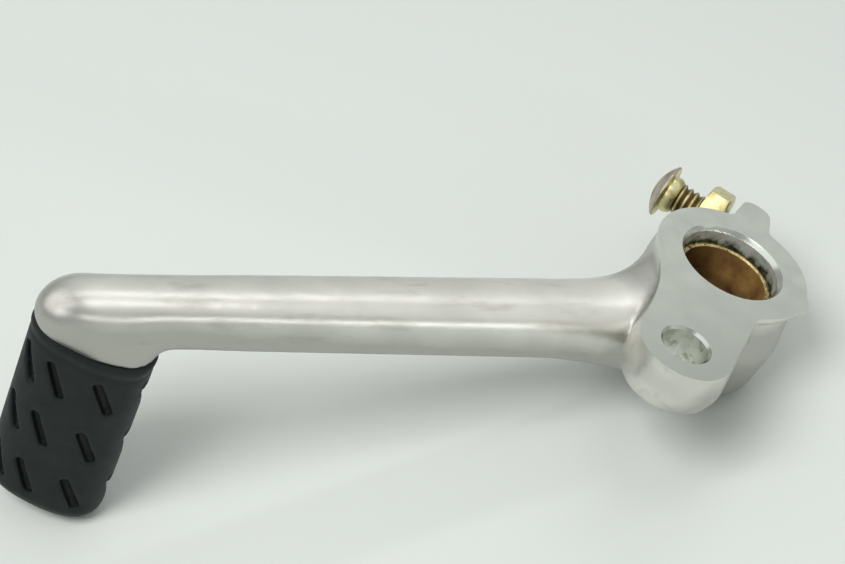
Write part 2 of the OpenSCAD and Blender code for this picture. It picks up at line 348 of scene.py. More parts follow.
def shade(obj, sharp_angle):
    """Smooth shading with sharp edges where faces meet at more than an angle in degrees."""
    obj.data.polygons.foreach_set("use_smooth", [True] * len(obj.data.polygons))
    obj.data.set_sharp_from_angle(angle=math.radians(sharp_angle))


def along_screw(at):
    """From a shape turned about Z to its place on the screw's axis, with Z along the slide."""
    turn = Matrix((SCREW_OUT, SLIDE.cross(SCREW_OUT), SLIDE)).transposed().to_4x4()
    return Matrix.Translation(SCREW_ORIGIN + SLIDE * at) @ turn


def mark_faces(obj, materials, choose):
    """Gives each face the material whose place in the list choose(centre, normal) returns."""
    obj.data.materials.clear()
    for item in materials:
        obj.data.materials.append(item)
    for face in obj.data.polygons:
        face.material_index = choose(face.center, face.normal)


# Materials. Sizes of noise are the real sizes of its blobs.

RGBA = {"data_type": "RGBA"}
# A wave texture's phase grows by this much times its scale for each metre
WAVE_PHASE = 20


def node(tree, kind, out=0, stops=(), props=None, **inputs):
    """Adds a shader node with its properties, colour stops and inputs, and returns one of
    its outputs. An input that is a socket is linked, and iN stands for input number N."""
    made = tree.nodes.new("ShaderNode" + kind)
    for key, value in (props or {}).items():
        setattr(made, key, value)
    for key, value in inputs.items():
        numbered = key[0] == "i" and key[1:].isdigit()
        socket = made.inputs[int(key[1:]) if numbered else key.replace("_", " ")]
        if isinstance(value, bpy.types.NodeSocket):
            tree.links.new(value, socket)
        else:
            socket.default_value = value
    if stops:
        elements = made.color_ramp.elements
        while len(elements) < len(stops):
            elements.new(0.5)
        for element, (position, colour) in zip(elements, stops):
            element.position = position
            element.color = colour
    return made.outputs[out] if made.outputs else None


def blank(name):
    """A new empty material, a function that adds its nodes, and its Object coordinates."""
    made = bpy.data.materials.new(name)
    made.use_nodes = True
    made.node_tree.nodes.clear()
    add = partial(node, made.node_tree)
    return made, add, add("TexCoord", "Object")


def surface(made, add, **inputs):
    """Ends the material with one shader that has these inputs."""
    add("OutputMaterial", Surface=add("BsdfPrincipled", **inputs))
    return made


def grey(value):
    return (value, value, value, 1)


def dimmed(colour, part):
    """The colour with only a part of its light."""
    return tuple(c * part for c in colour[:3]) + (1,)


def forged_aluminium(settings):
    """Aluminium forging, shot-blasted and rubbed to a satin skin: soft broad highlights,
    faint clouding, a fine grit, thin smears of grime along the arm and a few dark pits.
    The lower half, and the hub and the lug's front nearly up to the face, carry painted shade."""
    made, add, at = blank("forged_aluminium_satin")
    colour = tuple(settings.colour)
    cloud = add("TexNoise", Vector=at, Scale=1 / (14 * MM), Detail=4, Roughness=0.55)
    base = add("ValToRGB", stops=[(0.3, dimmed(colour, 0.86)), (0.62, colour)], Fac=cloud)
    pits = add("TexVoronoi", Vector=at, Scale=1 / (6 * MM))
    pit_mask = add("ValToRGB", stops=[(0.035, grey(1)), (0.06, grey(0))], Fac=pits)
    patches = add("TexNoise", Vector=at, Scale=1 / (22 * MM), Detail=2, Roughness=0.55)
    pitted = add("ValToRGB", stops=[(0.56, grey(0)), (0.6, grey(1))], Fac=patches)
    pit = add("Mix", 2, props=RGBA, i0=pit_mask, i6=grey(0), i7=pitted)
    # Height over the arm's lower corner, which sinks a little towards the hub
    tilted = add("VectorMath", "Value", props={"operation": "DOT_PRODUCT"}, i0=at, i1=(-0.035, 0, 1))
    # On the hub and the front of the lug the painted shade reaches nearly up to the machined face
    along = add("SeparateXYZ", "X", Vector=at)
    hub = add("MapRange", Value=along, From_Min=28 * MM, From_Max=19 * MM, To_Max=-9.5 * MM)
    height = add("Math", props={"operation": "ADD"}, i0=tilted, i1=hub)
    ragged = add("TexNoise", Vector=at, Scale=1 / (11 * MM), Detail=4, Roughness=0.55)
    wander = add("Math", props={"operation": "MULTIPLY_ADD"}, i0=ragged, i1=4 * MM, i2=height)
    # Painted shade: below this height the skin is darkened to six tenths of its colour
    low = add("MapRange", Value=wander, From_Min=3.6 * MM, From_Max=-0.6 * MM)
    painted_lower_shade = add("Mix", 2, props=RGBA, i0=low, i6=base, i7=dimmed(colour, 0.6))
    stretched = add("Mapping", Vector=at, Scale=(0.25, 1, 1))
    streaks = add("TexNoise", Vector=stretched, Scale=1 / (2.4 * MM), Detail=5, Roughness=0.6)
    smear = add("ValToRGB", stops=[(0.56, grey(0)), (0.78, grey(0.35))], Fac=streaks)
    grimy = add("Mix", 2, props=RGBA, i0=smear, i6=painted_lower_shade, i7=linear("#8b857a"))
    shown = add("Mix", 2, props=RGBA, i0=pit, i6=grimy, i7=linear("#6b675d"))
    rubbed = add("TexNoise", Vector=at, Scale=1 / (5 * MM), Detail=5, Roughness=0.55)
    rough = add("ValToRGB", stops=[(0.3, grey(0.32)), (0.7, grey(0.41))], Fac=rubbed)
    waves = add("TexNoise", Vector=at, Scale=1 / (7 * MM), Detail=2, Roughness=0.55)
    normal = add("Bump", Height=waves, Strength=0.35, Distance=0.25 * MM)
    # The grit is drawn at 0.35 mm, the finest that shows
    grit = add("TexNoise", Vector=at, Scale=1 / (0.35 * MM), Detail=2, Roughness=0.6)
    normal = add("Bump", Height=grit, Strength=0.2, Distance=0.03 * MM, Normal=normal)
    return surface(made, add, Base_Color=shown, Metallic=1.0, Roughness=rough, Normal=normal)


def machined_aluminium(name, settings, rough, spacing, relief):
    """Aluminium cut on a mill or a lathe: flat and even, with faint tool lines in rings round
    the pivot. Tool lines this far apart are coarser than real ones, so that they show."""
    made, add, at = blank(name)
    colour = tuple(settings.face_colour)
    stain = add("TexNoise", Vector=at, Scale=1 / (6 * MM), Detail=4, Roughness=0.55)
    base = add("ValToRGB", stops=[(0.32, dimmed(colour, 0.9)), (0.6, colour)], Fac=stain)
    # The face is darker towards the lug
    across = add("SeparateXYZ", "Y", Vector=at)
    lug = add("MapRange", Value=across, From_Min=6 * MM, From_Max=32 * MM)
    shown = add("Mix", 2, props=RGBA, i0=lug, i6=base, i7=dimmed(colour, 0.72))
    rings = add(
        "TexWave",
        "Fac",
        props={"wave_type": "RINGS", "rings_direction": "Z"},
        Vector=at,
        Scale=TAU / WAVE_PHASE / spacing,
        Distortion=0.4,
        Detail=1.0,
    )
    normal = add("Bump", Height=rings, Strength=relief, Distance=0.01 * MM)
    return surface(made, add, Base_Color=shown, Metallic=1.0, Roughness=rough, Normal=normal)


def oiled_bronze():
    """Bronze bush, turned, worn by the shaft and browned by old grease: a dull brown glow
    with darker patches, and painted shade on its side towards the toe. Half of what shows is the film of grease
    over the metal."""
    made, add, at = blank("bronze_bush_worn")
    patches = add("TexNoise", Vector=at, Scale=1 / (5 * MM), Detail=5, Roughness=0.55)
    browns = [(0.3, linear("#563c22")), (0.5, linear("#9a7442")), (0.72, linear("#c29a5e"))]
    base = add("ValToRGB", stops=browns, Fac=patches)
    # Painted shade on the side towards the toe, away from the lug
    side = add("VectorMath", "Value", props={"operation": "DOT_PRODUCT"}, i0=at, i1=(0.7, -0.7, 0))
    shaded_side = add("MapRange", Value=side, From_Min=-1 * MM, From_Max=9 * MM)
    shown = add("Mix", 2, props=RGBA, i0=shaded_side, i6=base, i7=linear("#33230f"))
    rough = add("ValToRGB", stops=[(0.3, grey(0.6)), (0.7, grey(0.36))], Fac=patches)
    # The lathe's lines are drawn 0.5 mm apart, the finest that shows
    squeezed = add("Mapping", Vector=at, Scale=(1, 1, 8))
    lines = add("TexNoise", Vector=squeezed, Scale=1 / (4 * MM), Detail=3, Roughness=0.55)
    normal = add("Bump", Height=lines, Strength=0.3, Distance=0.06 * MM)
    return surface(made, add, Base_Color=shown, Metallic=0.45, Roughness=rough, Normal=normal)


def bronze_rim():
    """The bush's end, where the bronze is rubbed to pale gold with black grease in its pores."""
    made, add, at = blank("bronze_rim_rubbed")
    specks = add("TexNoise", Vector=at, Scale=1 / (0.7 * MM), Detail=4, Roughness=0.65)
    golds = [(0.36, linear("#3f3a29")), (0.46, linear("#b59f6c")), (0.7, linear("#e3d3a4"))]
    base = add("ValToRGB", stops=golds, Fac=specks)
    normal = add("Bump", Height=specks, Strength=0.5, Distance=0.08 * MM)
    return surface(made, add, Base_Color=base, Metallic=1.0, Roughness=0.38, Normal=normal)


def bored_wall():
    """The pivot bore's wall above the bush: turned aluminium with fine rings, and a ragged
    ring of black grease that the shaft's washer has left over the bush."""
    made, add, at = blank("aluminium_bored_wall")
    height = add("SeparateXYZ", "Z", Vector=at)
    ragged = add("TexNoise", Vector=at, Scale=1 / (2.2 * MM), Detail=4, Roughness=0.6)
    moved = add("Math", props={"operation": "MULTIPLY_ADD"}, i0=ragged, i1=-4.2 * MM, i2=height)
    start = BUSH_HIGH.z - 1.9 * MM
    clean = add("MapRange", Value=moved, From_Min=start, From_Max=start + 1.1 * MM)
    stain = add("TexNoise", Vector=at, Scale=1 / (3 * MM), Detail=4, Roughness=0.55)
    metal = add("ValToRGB", stops=[(0.35, linear("#a9ada4")), (0.65, linear("#d2d5cd"))], Fac=stain)
    lumps = add("TexNoise", Vector=at, Scale=1 / (0.8 * MM), Detail=3, Roughness=0.55)
    grease = add("ValToRGB", stops=[(0.4, linear("#15180f")), (0.7, linear("#5c5a3c"))], Fac=lumps)
    shown = add("Mix", 2, props=RGBA, i0=clean, i6=grease, i7=metal)
    rough = add("ValToRGB", stops=[(0, grey(0.65)), (1, grey(0.34))], Fac=clean)
    # Rings about 1 mm apart, coarser than real tool lines so that they show
    rings = add("TexWave", "Fac", props={"bands_direction": "Z"}, Vector=at, Scale=0.3 / MM)
    normal = add("Bump", Height=rings, Strength=0.1, Distance=0.01 * MM)
    return surface(made, add, Base_Color=shown, Metallic=0.6, Roughness=rough, Normal=normal)


def pin_wall():
    """The pin hole's wall: drilled aluminium, pale, with green-grey blotches of dried oil."""
    made, add, at = blank("aluminium_drilled_wall")
    blots = add("TexNoise", Vector=at, Scale=1 / (2 * MM), Detail=4, Roughness=0.6)
    pales = [(0.34, linear("#a9b09e")), (0.46, linear("#e0e3da")), (0.7, linear("#efefe9"))]
    base = add("ValToRGB", stops=pales, Fac=blots)
    normal = add("Bump", Height=blots, Strength=0.3, Distance=0.05 * MM)
    return surface(made, add, Base_Color=base, Metallic=1.0, Roughness=0.4, Normal=normal)


def yellow_zinc(name, settings, dirty, threaded=False):
    """Yellow zinc plate on steel: straw gold that drifts to green and brown, dulled by
    oily dirt. A thread is darker brown in its roots than at its crests."""
    made, add, at = blank(name)
    drift = add("TexNoise", Vector=at, Scale=1 / (3 * MM), Detail=4, Roughness=0.55)
    yellows = [(0.3, linear("#a99a5e")), (0.5, tuple(settings.colour)), (0.7, linear("#dcd8b4"))]
    base = add("ValToRGB", stops=yellows, Fac=drift)
    spots = add("TexNoise", Vector=at, Scale=1 / (1.6 * MM), Detail=5, Roughness=0.65)
    dirt = add("ValToRGB", stops=[(0.42, grey(0)), (0.75, grey(dirty))], Fac=spots)
    shown = add("Mix", 2, props=RGBA, i0=dirt, i6=base, i7=linear("#3b3222"))
    if threaded:
        offset = add("VectorMath", props={"operation": "SUBTRACT"}, i0=at, i1=SCREW_ORIGIN[:])
        cross = add("VectorMath", props={"operation": "CROSS_PRODUCT"}, i0=offset, i1=SLIDE[:])
        away = add("VectorMath", "Value", props={"operation": "LENGTH"}, i0=cross)
        crest = settings.thread_d / 2
        rise = add("MapRange", Value=away, From_Min=crest - 0.5 * settings.pitch, From_Max=crest)
        crest_mask = add("ValToRGB", stops=[(0.55, grey(0)), (0.95, grey(1))], Fac=rise)
        shown = add("Mix", 2, props=RGBA, i0=crest_mask, i6=linear("#5d4a2b"), i7=shown)
    rough = add("ValToRGB", stops=[(0.3, grey(0.24)), (0.7, grey(0.38))], Fac=drift)
    # Scratches are drawn at 0.5 mm, the finest that shows
    scratch = add("TexNoise", Vector=at, Scale=1 / (0.5 * MM), Detail=3, Roughness=0.55)
    normal = add("Bump", Height=scratch, Strength=0.2, Distance=0.04 * MM)
    return surface(made, add, Base_Color=shown, Metallic=1.0, Roughness=rough, Normal=normal)


def worn_steel():
    """Steel head that has been rubbed bare by its stop: grey-brown, with fine scratches."""
    made, add, at = blank("steel_head_worn")
    patches = add("TexNoise", Vector=at, Scale=1 / (2.5 * MM), Detail=5, Roughness=0.55)
    base = add("ValToRGB", stops=[(0.3, linear("#857b6c")), (0.6, linear("#bdb4a2"))], Fac=patches)
    stretched = add("Mapping", Vector=at, Rotation=(0.4, 0.9, 0.3), Scale=(8, 1, 1))
    scratch = add("TexNoise", Vector=stretched, Scale=1 / (1.2 * MM), Detail=3, Roughness=0.55)
    normal = add("Bump", Height=scratch, Strength=0.5, Distance=0.05 * MM)
    return surface(made, add, Base_Color=base, Metallic=1.0, Roughness=0.42, Normal=normal)


def moulded_rubber(settings):
    """Black rubber from a mould: charcoal with a cold tint, a soft sheen, fine specks and
    paler scuffs, and painted shade down in the slots."""
    made, add, at = blank("moulded_rubber")
    wear = add("TexNoise", Vector=at, Scale=1 / (9 * MM), Detail=6, Roughness=0.62)
    scuffs = add("ValToRGB", stops=[(0.5, grey(0)), (0.75, grey(0.35))], Fac=wear)
    skin = add("Mix", 2, props=RGBA, i0=scuffs, i6=tuple(settings.colour), i7=linear("#262e2e"))
    depth = add("Attribute", "Fac", props={"attribute_name": "depth"})
    # Painted shade: the deeper a point lies under the outer skin, the nearer to black
    slot_shade = add("ValToRGB", stops=[(0.25, grey(0)), (0.8, grey(1))], Fac=depth)
    shown = add("Mix", 2, props=RGBA, i0=slot_shade, i6=skin, i7=linear("#050707"))
    dull = add("TexNoise", Vector=at, Scale=1 / (3 * MM), Detail=4, Roughness=0.55)
    rough = add("ValToRGB", stops=[(0.3, grey(0.5)), (0.7, grey(0.62))], Fac=dull)
    waves = add("TexNoise", Vector=at, Scale=1 / (5 * MM), Detail=3, Roughness=0.55)
    normal = add("Bump", Height=waves, Strength=0.25, Distance=0.15 * MM)
    # The mould's grain is drawn at 0.4 mm, the finest that shows
    grain = add("TexNoise", Vector=at, Scale=1 / (0.4 * MM), Detail=3, Roughness=0.6)
    normal = add("Bump", Height=grain, Strength=0.25, Distance=0.03 * MM, Normal=normal)
    gloss = {"IOR": 1.5, "Specular_IOR_Level": 0.28}
    return surface(made, add, Base_Color=shown, Roughness=rough, Normal=normal, **gloss)


def pale_floor():
    """Painted table top in one flat pale grey, which shows the shadows and nothing else."""
    made, add, _ = blank("pale_floor")
    return surface(made, add, Base_Color=linear("#d4d8d4"), Roughness=0.6)


# The pieces

# Closeness at which a face counts as lying on a machined plane or wall
SNUG = 0.01 * MM
# Places in the lever's list of finishes
SKIN, FACE, CHAMFER, BORE, PIN = range(5)


class PEDAL_OT_lever(bpy.types.Operator):
    """Forged lever: soft skin with sharp machined cuts"""

    bl_idname = "pedal.lever"
    bl_label = "Lever"

    # The face is built up by this much before the smoothing, and cut flat again after it
    RAISED = 2.5 * MM
    # Where the hub's smoothing ends and the arm's starts, along the arm
    HUB_END = 36 * MM
    ARM_START = 32 * MM
    # How far the three smoothings of the bend reach back from the rubber
    BENDS = (12 * MM, 9 * MM, 6 * MM)
    RIM_PASSES = 4
    # What all the smoothing takes off the skin
    SHRINKAGE = 0.12 * MM

    def execute(self, context):
        settings = context.scene.pedal_lever
        bm = cad_copy("pedal_lever")
        top = [f for f in bm.faces if f.normal.z > 0.99 and f.calc_center_median().z > FACE_Z - SNUG]
        if not top:
            raise RuntimeError("the lever has no machined face at its top")
        raised = bmesh.ops.extrude_face_region(bm, geom=top)["geom"]
        verts = [v for v in raised if isinstance(v, bmesh.types.BMVert)]
        bmesh.ops.translate(bm, verts=verts, vec=(0, 0, self.RAISED))
        bmesh.ops.delete(bm, geom=top, context="FACES")
        self.fill_toe(bm)
        lever = new_object("pedal_lever_forging", bm)
        remesh(lever, settings.grain)
        self.flatten_toe(lever, settings.toe_side)
        self.round_off(lever, settings)
        self.machine(lever, settings)
        parts = [
            forged_aluminium(settings),
            machined_aluminium("aluminium_milled_face", settings, 0.5, 0.7 * MM, 0.1),
            machined_aluminium("aluminium_cut_chamfer", settings, 0.24, 0.6 * MM, 0.02),
            bored_wall(),
            pin_wall(),
        ]
        mark_faces(lever, parts, lambda c, n: self.finish_of(c, n, settings))
        shade(lever, 30)
        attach(lever, "lever")
        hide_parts("pedal_lever")
        return {"FINISHED"}

    @staticmethod
    def fill_toe(bm):
        """Joins in the hull of the bend over the rubber, so that it is one rounded nose."""
        nose = cad_copy("pedal_lever")
        start = RUBBER_LOW.x - 1.5 * MM
        floor = RUBBER_HIGH.z - 0.05 * MM
        away = [v for v in nose.verts if v.co.x < start or v.co.z < floor]
        bmesh.ops.delete(nose, geom=away, context="VERTS")
        hull = bmesh.ops.convex_hull(nose, input=nose.verts)
        spare = [v for v in hull["geom_interior"] if isinstance(v, bmesh.types.BMVert)]
        bmesh.ops.delete(nose, geom=spare, context="VERTS")
        mesh = bpy.data.meshes.new("nose")
        nose.to_mesh(mesh)
        nose.free()
        bm.from_mesh(mesh)
        bpy.data.meshes.remove(mesh)

    @staticmethod
    def flatten_toe(lever, side):
        """Keeps the near side of the bend level with the arm's side, and lets it flare only
        close over the rubber."""
        start = RUBBER_LOW.x - 5 * MM
        floor = RUBBER_HIGH.z + 0.5 * MM
        flare = 1.9 * MM
        flare_top = -1.5 * MM
        flare_h = 4.2 * MM
        for vert in lever.data.vertices:
            if vert.co.x < start or vert.co.z < floor:
                continue
            down = min(max((flare_top - vert.co.z) / flare_h, 0), 1)
            vert.co.y = min(vert.co.y, side + flare * down**1.5)

    def round_off(self, lever, settings):
        """Rounds the creases: the rim over the rubber stays crisp, and the bend is rounded
        most."""
        rim = RUBBER_HIGH.z
        near = RUBBER_LOW.x - 4 * MM
        rim_half = 0.3 * MM

        def arm(p):
            return self.ARM_START < p.x < near or p.x >= near and abs(p.z - rim) > rim_half

        soften(lever, settings.soften, arm)
        soften(lever, settings.hub_soften, lambda p: p.x < self.HUB_END)
        for reach in self.BENDS:
            start = RUBBER_LOW.x - reach
            soften(lever, settings.toe_soften, lambda p: p.x > start and p.z > rim + 0.5 * MM)
        soften(lever, self.RIM_PASSES, lambda p: p.x > near and abs(p.z - rim) < 1 * MM)
        swell(lever, self.SHRINKAGE)

    @staticmethod
    def machine(lever, settings):
        """Cuts the face, the two bores with their chamfers, and the boss for the screw."""
        side = 2 * (LEVER_HIGH.y - LEVER_LOW.y)
        height = 10 * MM
        bm = bmesh.new()
        bmesh.ops.create_cube(bm, size=1)
        bmesh.ops.scale(bm, verts=bm.verts, vec=(side, side, height))
        bmesh.ops.translate(bm, verts=bm.verts, vec=(0, 0, FACE_Z + height / 2))
        cut(lever, new_object("face_cutter", bm))
        # The cutters stand out over the face by this much, and one goes through the lug
        over = 1 * MM
        top = FACE_Z + over
        lug_h = 11.2 * MM
        for middle, r, chamfer, bottom in (
            (Vector((0, 0, 0)), settings.bore_r, settings.bore_chamfer, LEVER_LOW.z),
            (PIN_PLACE, settings.pin_r, settings.pin_chamfer, FACE_Z - lug_h),
        ):
            outline = [(0, bottom), (r, bottom), (r, FACE_Z - chamfer), (r + chamfer + over, top), (0, top)]
            cutter = spun("bore_cutter", outline, 144)
            cut(lever, place(cutter, Matrix.Translation((middle.x, middle.y, 0))))
        # The spot face, which leaves the nut room to turn
        spot_h = 9 * MM
        spot = cylinder("spot_face_cutter", settings.spot_r, spot_h)
        cut(lever, place(spot, along_screw(settings.boss_face - spot_h)))
        # The screw's hole starts before the boss and clears the thread
        clearance = 0.05 * MM
        hole_start = -7 * MM
        hole_h = 30 * MM
        hole_r = settings.id_data.pedal_screw.thread_d / 2 + clearance
        cut(lever, place(cylinder("screw_hole_cutter", hole_r, hole_h), along_screw(hole_start)))

    @staticmethod
    def finish_of(centre, normal, settings):
        """The place in the list of finishes for a face of the lever."""
        if centre.z > FACE_Z - SNUG and normal.z > 0.9:
            return FACE
        along = (centre - SCREW_ORIGIN).dot(SLIDE)
        if abs(along - settings.boss_face) < 2 * SNUG and abs(normal.dot(SLIDE)) > 0.95:
            return CHAMFER
        from_pivot = math.hypot(centre.x, centre.y)
        from_pin = math.hypot(centre.x - PIN_PLACE.x, centre.y - PIN_PLACE.y)
        for distance, r, chamfer, wall in (
            (from_pivot, settings.bore_r, settings.bore_chamfer, BORE),
            (from_pin, settings.pin_r, settings.pin_chamfer, PIN),
        ):
            if distance < r + 2 * SNUG and abs(normal.z) < 0.3:
                return wall
            if distance < r + chamfer + 2 * SNUG and centre.z > FACE_Z - chamfer - 2 * SNUG:
                return CHAMFER
        return SKIN


class PEDAL_OT_bush(bpy.types.Operator):
    """Bronze bush with bevelled ends"""

    bl_idname = "pedal.bush"
    bl_label = "Bush"

    def execute(self, context):
        outer = context.scene.pedal_lever.bore_r - SNUG
        inner = MOUNTS["pivot_bore"]["dims"]["r_mm"] * MM
        half = (BUSH_HIGH.z - BUSH_LOW.z) / 2
        lead = 0.3 * MM
        outline = [
            (inner, -half + lead),
            (inner + lead, -half),
            (outer - lead, -half),
            (outer, -half + lead),
            (outer, half - lead),
            (outer - lead, half),
            (inner + lead, half),
            (inner, half - lead),
            (inner, -half + lead),
        ]
        bush = spun("pivot_bush_bronze", outline, 144)
        mark_faces(bush, [oiled_bronze(), bronze_rim()], lambda c, n: 1 if n.z > 0.4 else 0)
        shade(bush, 30)
        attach(bush, "lever")
        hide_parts("pivot_bush")
        return {"FINISHED"}


def threaded_rod(name, radius, pitch, low, high):
    """A rod with a real helical thread between two heights on Z, closed at both ends."""
    depth = 0.5 * pitch
    # One turn of the outline: how far along the pitch, and how high from root to crest
    wave = ((0, 0.04), (0.45, 1), (0.55, 1), (0.96, 0.04))
    # The thread starts below the rod's end and stops above it, and is cut off at both
    turns = math.ceil((high - low) / pitch) + 2
    below = 1.5
    steps = 64
    bm = bmesh.new()
    points = []
    for turn in range(turns):
        for along, rise in wave:
            z = low + (turn - below + along) * pitch
            points.append(bm.verts.new((radius - depth + depth * rise, 0, z)))
    edges = [bm.edges.new(pair) for pair in zip(points, points[1:])]
    bmesh.ops.spin(
        bm,
        geom=points + edges,
        cent=(0, 0, 0),
        axis=(0, 0, 1),
        dvec=(0, 0, pitch / steps),
        angle=TAU,
        steps=steps,
    )
    bmesh.ops.remove_doubles(bm, verts=bm.verts, dist=0.002 * MM)
    for height, outward in ((low, -1), (high, 1)):
        bmesh.ops.bisect_plane(
            bm,
            geom=bm.verts[:] + bm.edges[:] + bm.faces[:],
            plane_co=(0, 0, height),
            plane_no=(0, 0, outward),
            clear_outer=True,
        )
        open_edges = [e for e in bm.edges if e.is_boundary]
        rim = [e for e in open_edges if all(abs(v.co.z - height) < 0.001 * MM for v in e.verts)]
        bmesh.ops.contextual_create(bm, geom=rim)
    bmesh.ops.recalc_face_normals(bm, faces=bm.faces)
    return new_object(name, bm)


class PEDAL_OT_screw(bpy.types.Operator):
    """Stop screw with a domed head, a collar and a cut thread"""

    bl_idname = "pedal.screw"
    bl_label = "Stop screw"

    # Heights under the head, of the collar's lower end, the neck's and the head piece's
    COLLAR_H = 1.35 * MM
    NECK_H = 2.2 * MM
    END_H = 2.55 * MM
    THREAD_START = 2.4 * MM

    def execute(self, context):
        settings = context.scene.pedal_screw
        points = [v.co for v in frame["nodes"]["stop_screw"].data.vertices]
        under = min((p - SCREW_ORIGIN).dot(SLIDE) for p in points) + settings.head_rise
        head = spun("stop_screw_head", self.head_outline(settings), 128)
        place(head, along_screw(under))
        mark_faces(
            head,
            [worn_steel(), yellow_zinc("yellow_zinc_collar", settings, 0.7)],
            lambda c, n: 0 if (c - SCREW_ORIGIN).dot(SLIDE) < under - 2 * SNUG else 1,
        )
        shade(head, 40)
        radius = settings.thread_d / 2
        rod = threaded_rod("stop_screw_thread", radius, settings.pitch, self.THREAD_START, settings.length)
        place(rod, along_screw(under))
        rod.data.materials.append(yellow_zinc("yellow_zinc_thread", settings, 0.9, threaded=True))
        shade(rod, 50)
        for piece in (head, rod):
            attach(piece, "stop_screw")
        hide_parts("stop_screw")
        return {"FINISHED"}

    def head_outline(self, settings):
        """Dome, rim, collar and neck, with height 0 at the head's underside."""
        r = settings.thread_d / 2
        head_r = settings.head_d / 2
        rim_h = 0.4 * MM
        dome_h = settings.head_rise - rim_h
        dome_r = (head_r**2 + dome_h**2) / (2 * dome_h)
        sweep = math.asin(head_r / dome_r)
        steps = 14
        dome = [
            (dome_r * math.sin(a), -settings.head_rise + dome_r * (1 - math.cos(a)))
            for a in (sweep * i / steps for i in range(steps))
        ]
        edge = 0.12 * MM
        collar = r + 0.4 * MM
        fillet = 0.35 * MM
        return dome + [
            (head_r - edge / 2, -rim_h - edge / 2),
            (head_r, -rim_h + edge),
            (head_r, -edge),
            (head_r - edge, 0),
            (collar + fillet, 0.02 * MM),
            (collar, 0.3 * MM),
            (collar, self.COLLAR_H),
            (r - 0.05 * MM, self.NECK_H),
            (r - 0.6 * MM, self.END_H),
            (0, self.END_H),
        ]


class PEDAL_OT_nut(bpy.types.Operator):
    """Lock nut with bevelled corners and edges"""

    bl_idname = "pedal.nut"
    bl_label = "Lock nut"

    def execute(self, context):
        settings = context.scene.pedal_screw
        bm = cad_copy("lock_nut")
        bmesh.ops.dissolve_limit(bm, angle_limit=math.radians(1), verts=bm.verts, edges=bm.edges)
        crease = math.radians(24)
        sharp = [e for e in bm.edges if len(e.link_faces) == 2 and e.calc_face_angle() > crease]
        bmesh.ops.bevel(
            bm,
            geom=sharp,
            offset=0.12 * MM,
            offset_type="OFFSET",
            affect="EDGES",
            segments=3,
            profile=0.5,
            material=-1,
            clamp_overlap=True,
        )
        nut = new_object("lock_nut_plated", bm)
        nut.data.materials.append(yellow_zinc("yellow_zinc_nut", settings, 0.45))
        shade(nut, 30)
        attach(nut, "lock_nut")
        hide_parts("lock_nut")
        return {"FINISHED"}


class PEDAL_OT_rubber(bpy.types.Operator):
    """Toe rubber with soft-edged grip slots"""

    bl_idname = "pedal.rubber"
    bl_label = "Toe rubber"

    # Rings round the rubber's open end, a bead and a groove under it: how far each stands
    # out, how far it lies under the end and how wide it is, all in mm
    RINGS = ((0.07, 0.9, 0.7), (-0.1, 2.5, 0.5))
    # Points deeper than this in mm lie in a slot or in the peg's hole
    OUTER_SKIN = 0.5

    def execute(self, context):
        settings = context.scene.pedal_rubber
        rubber = new_object("toe_rubber_moulded", cad_copy("toe_rubber"))
        remesh(rubber, settings.grain)
        soften(rubber, settings.soften)
        self.lip_and_depth(rubber)
        rubber.data.materials.append(moulded_rubber(settings))
        shade(rubber, 60)
        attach(rubber, "lever")
        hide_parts("toe_rubber")
        return {"FINISHED"}

    def lip_and_depth(self, rubber):
        """Swells a rolled lip under the shoulder, and stores how deep each point lies under
        the rubber's outer skin for the painted shade in the slots."""
        hull = bmesh.new()
        hull.from_mesh(rubber.data)
        inner = bmesh.ops.convex_hull(hull, input=hull.verts)["geom_interior"]
        spare = [v for v in inner if isinstance(v, bmesh.types.BMVert)]
        bmesh.ops.delete(hull, geom=spare, context="VERTS")
        skin = BVHTree.FromBMesh(hull)
        hull.free()
        mesh = rubber.data
        mask = mesh.attributes.new("depth", "FLOAT", "POINT")
        normals = [v.normal.copy() for v in mesh.vertices]
        for vert, normal, item in zip(mesh.vertices, normals, mask.data):
            item.value = skin.find_nearest(vert.co)[3] / MM
            if item.value > self.OUTER_SKIN or abs(normal.z) > 0.8:
                continue
            below = (RUBBER_HIGH.z - vert.co.z) / MM
            rise = sum(out * math.exp(-(((below - at) / width) ** 2)) for out, at, width in self.RINGS)
            vert.co += normal * rise * MM


